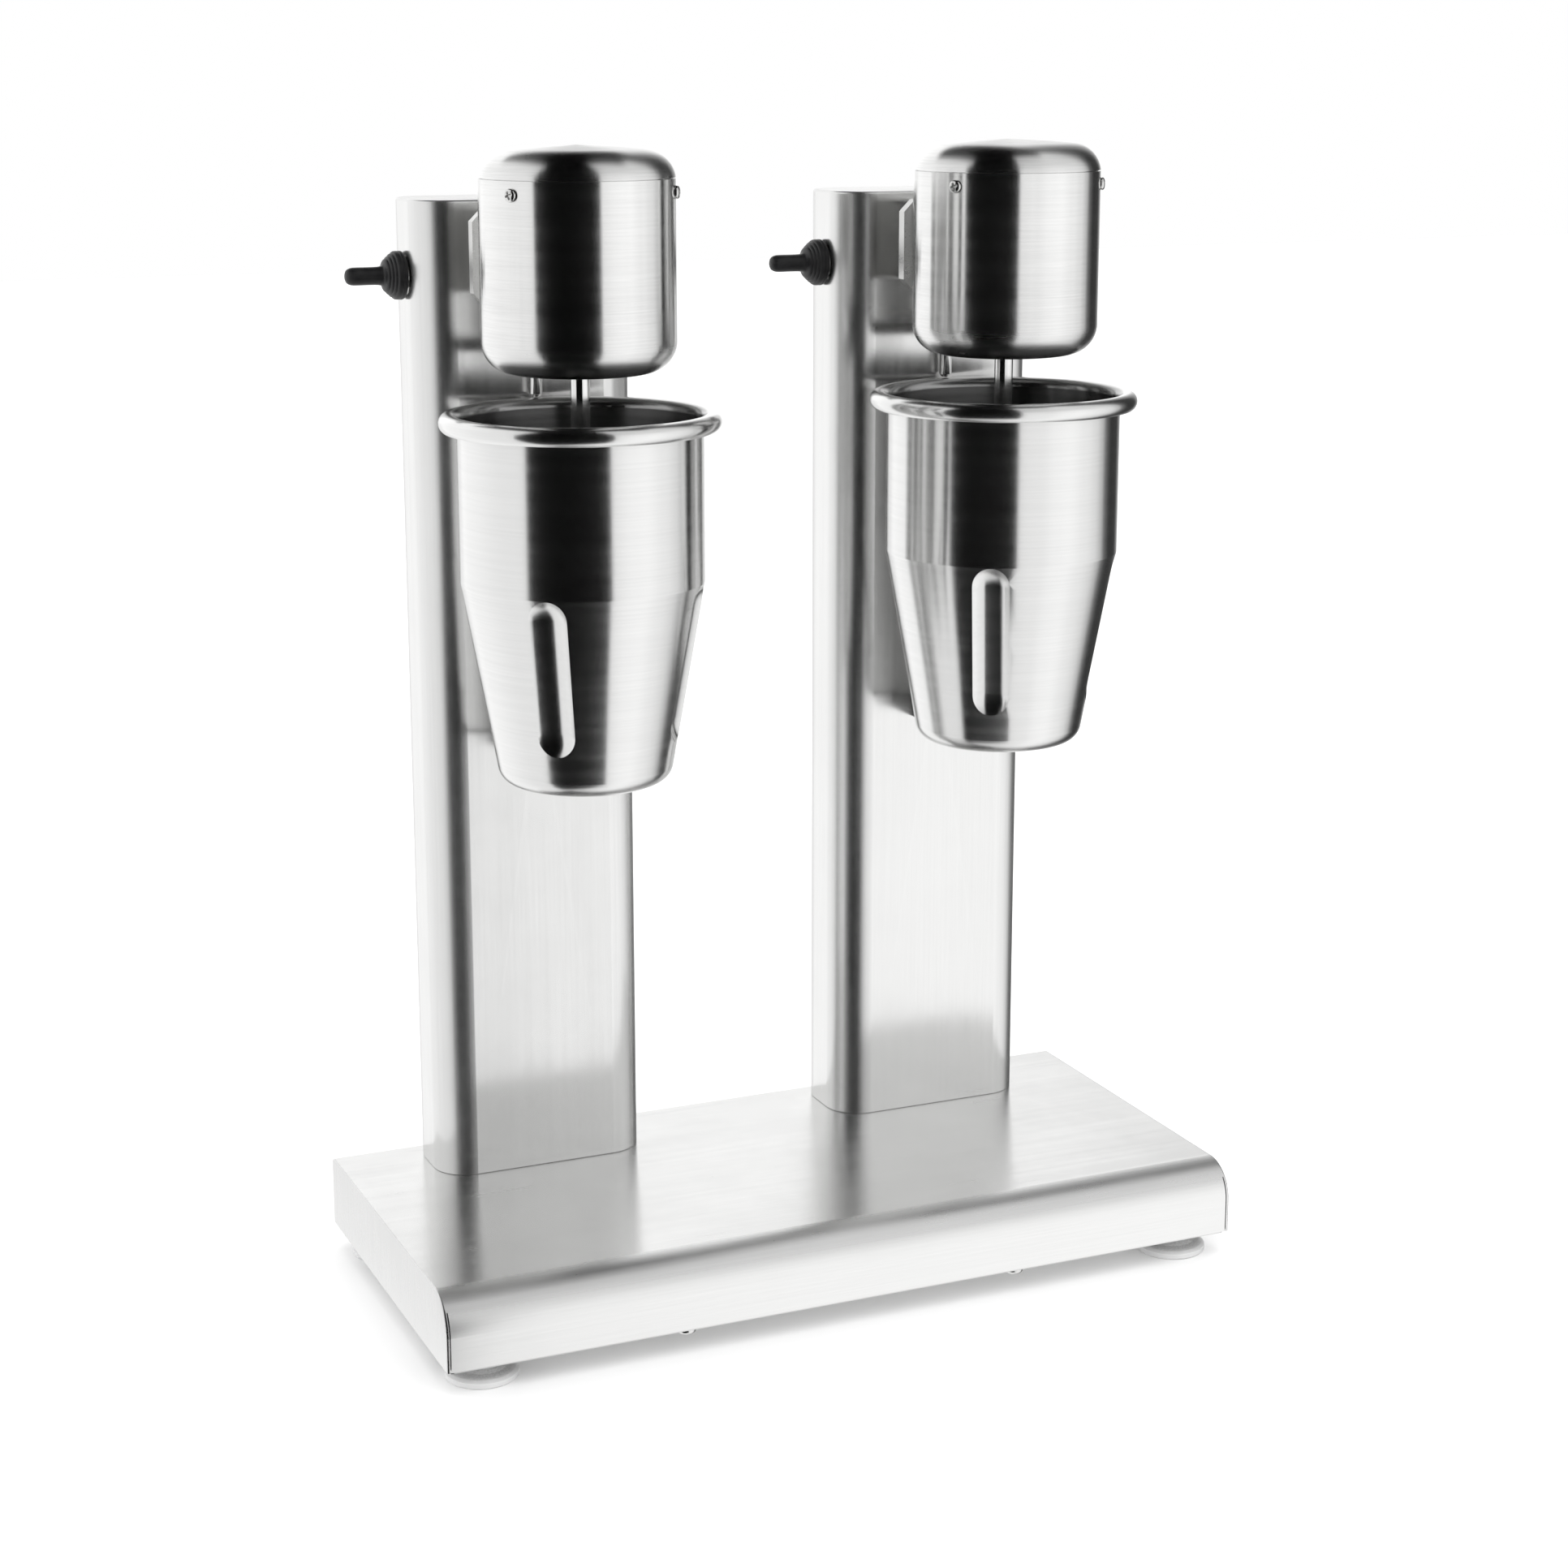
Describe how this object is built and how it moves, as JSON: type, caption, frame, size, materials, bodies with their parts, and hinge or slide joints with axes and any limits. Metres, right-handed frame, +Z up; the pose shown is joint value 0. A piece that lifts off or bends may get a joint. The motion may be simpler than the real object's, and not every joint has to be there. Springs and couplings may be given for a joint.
{
  "type": "milkshake mixer",
  "caption": "Bar milkshake mixer with paired spindles: steel columns on a shared base carry motor heads, cups with rolled rims and side toggle switches.",
  "frame": {"origin": "on the worktop, under the middle of the machine", "axes": "+Z up, -Y the front where the cups face the user, +X to the user's right"},
  "size_m": [0.37, 0.1756, 0.498],
  "materials": {
    "black_rubber": "moulded ribbed rubber",
    "clear_rubber": "pale translucent moulded rubber",
    "black_plastic": "moulded plastic",
    "head_steel": "brushed round the housing",
    "cup_steel": "fine spun brushing round the cup",
    "column_steel": "brushed along the height",
    "base_steel": "brushed along the width",
    "neck_steel": "satin cast steel",
    "polished_steel": "ground and polished",
    "agitator_steel": "polished pressing",
    "plate_steel": "mill finish sheet",
    "copper": "enamelled copper",
    "lamination": "stacked steel laminations",
    "carbon": "pressed carbon",
    "brass": "stamped brass",
    "aluminium": "die cast",
    "bright_steel": "bright steel",
    "fastener_steel": "bright plated"
  },
  "bodies": {
    "root": {"base_screws": "fastener_steel", "base_shell": "base_steel", "bearings": "bright_steel", "bottom_plate": "plate_steel", "brushes": "carbon", "cap_screws": "fastener_steel", "column_bolts": "fastener_steel", "cord_gland": "black_plastic", "cup_rest_screws": "fastener_steel", "feet": "clear_rubber", "foot_screws": "fastener_steel", "housing_screws": "fastener_steel", "left_bearing_bracket": "aluminium", "left_boot_skirt": "black_rubber", "left_brush_holders": "brass", "left_column": "column_steel", "left_cup_rest": "plate_steel", "left_field_coils": "copper", "left_housing_cap": "head_steel", "left_microswitch": "black_plastic", "left_motor_housing": "head_steel", "left_neck": "neck_steel", "left_plunger_spring": "bright_steel", "left_shaft_seal": "black_rubber", "left_stator": "lamination", "left_toggle_switch": "black_plastic", "right_bearing_bracket": "aluminium", "right_boot_skirt": "black_rubber", "right_brush_holders": "brass", "right_column": "column_steel", "right_cup_rest": "plate_steel", "right_field_coils": "copper", "right_housing_cap": "head_steel", "right_microswitch": "black_plastic", "right_motor_housing": "head_steel", "right_neck": "neck_steel", "right_plunger_spring": "bright_steel", "right_shaft_seal": "black_rubber", "right_stator": "lamination", "right_toggle_switch": "black_plastic", "switch_nuts": "fastener_steel", "terminal_block": "black_plastic"},
    "left_spindle": {"left_motor_shaft": "polished_steel", "left_armature": "lamination", "left_commutator": "copper", "left_cooling_fan": "aluminium", "left_agitator": "agitator_steel"},
    "left_plunger": {"left_plunger": "polished_steel"},
    "left_cup": {"left_cup": "cup_steel"},
    "left_toggle": {"left_toggle_lever": "bright_steel", "left_boot_sleeve": "black_rubber"},
    "right_spindle": {"right_motor_shaft": "polished_steel", "right_armature": "lamination", "right_commutator": "copper", "right_cooling_fan": "aluminium", "right_agitator": "agitator_steel"},
    "right_plunger": {"right_plunger": "polished_steel"},
    "right_cup": {"right_cup": "cup_steel"},
    "right_toggle": {"right_toggle_lever": "bright_steel", "right_boot_sleeve": "black_rubber"}
  },
  "joints": [
    {"name": "left_spindle_spin", "type": "hinge", "parent": "root", "child": "left_spindle", "pos_m": [-0.0975, -0.02125, 0.407], "axis": [0, 0, 1], "continuous": true},
    {"name": "left_plunger_lift", "type": "slide", "parent": "root", "child": "left_plunger", "axis": [0, 0, 1], "range_m": [0, 0.004], "stiffness_N_per_m": 300, "springref_m": -0.006, "deforming": ["left_plunger_spring"]},
    {"name": "left_cup_tilt", "type": "hinge", "parent": "left_plunger", "child": "left_cup", "pos_m": [-0.0975, 0.03475, 0.391], "axis": [-1, 0, 0], "range_deg": [0, 6]},
    {"name": "left_toggle_tilt", "type": "hinge", "parent": "root", "child": "left_toggle", "pos_m": [-0.145, 0.06275, 0.442], "axis": [0, 1, 0], "range_deg": [-12, 12]},
    {"name": "right_spindle_spin", "type": "hinge", "parent": "root", "child": "right_spindle", "pos_m": [0.0975, -0.02125, 0.407], "axis": [0, 0, 1], "continuous": true},
    {"name": "right_plunger_lift", "type": "slide", "parent": "root", "child": "right_plunger", "axis": [0, 0, 1], "range_m": [0, 0.004], "stiffness_N_per_m": 300, "springref_m": -0.006, "deforming": ["right_plunger_spring"]},
    {"name": "right_cup_tilt", "type": "hinge", "parent": "right_plunger", "child": "right_cup", "pos_m": [0.0975, 0.03475, 0.391], "axis": [-1, 0, 0], "range_deg": [0, 6]},
    {"name": "right_toggle_tilt", "type": "hinge", "parent": "root", "child": "right_toggle", "pos_m": [0.05, 0.06275, 0.442], "axis": [0, 1, 0], "range_deg": [-12, 12]}
  ]
}
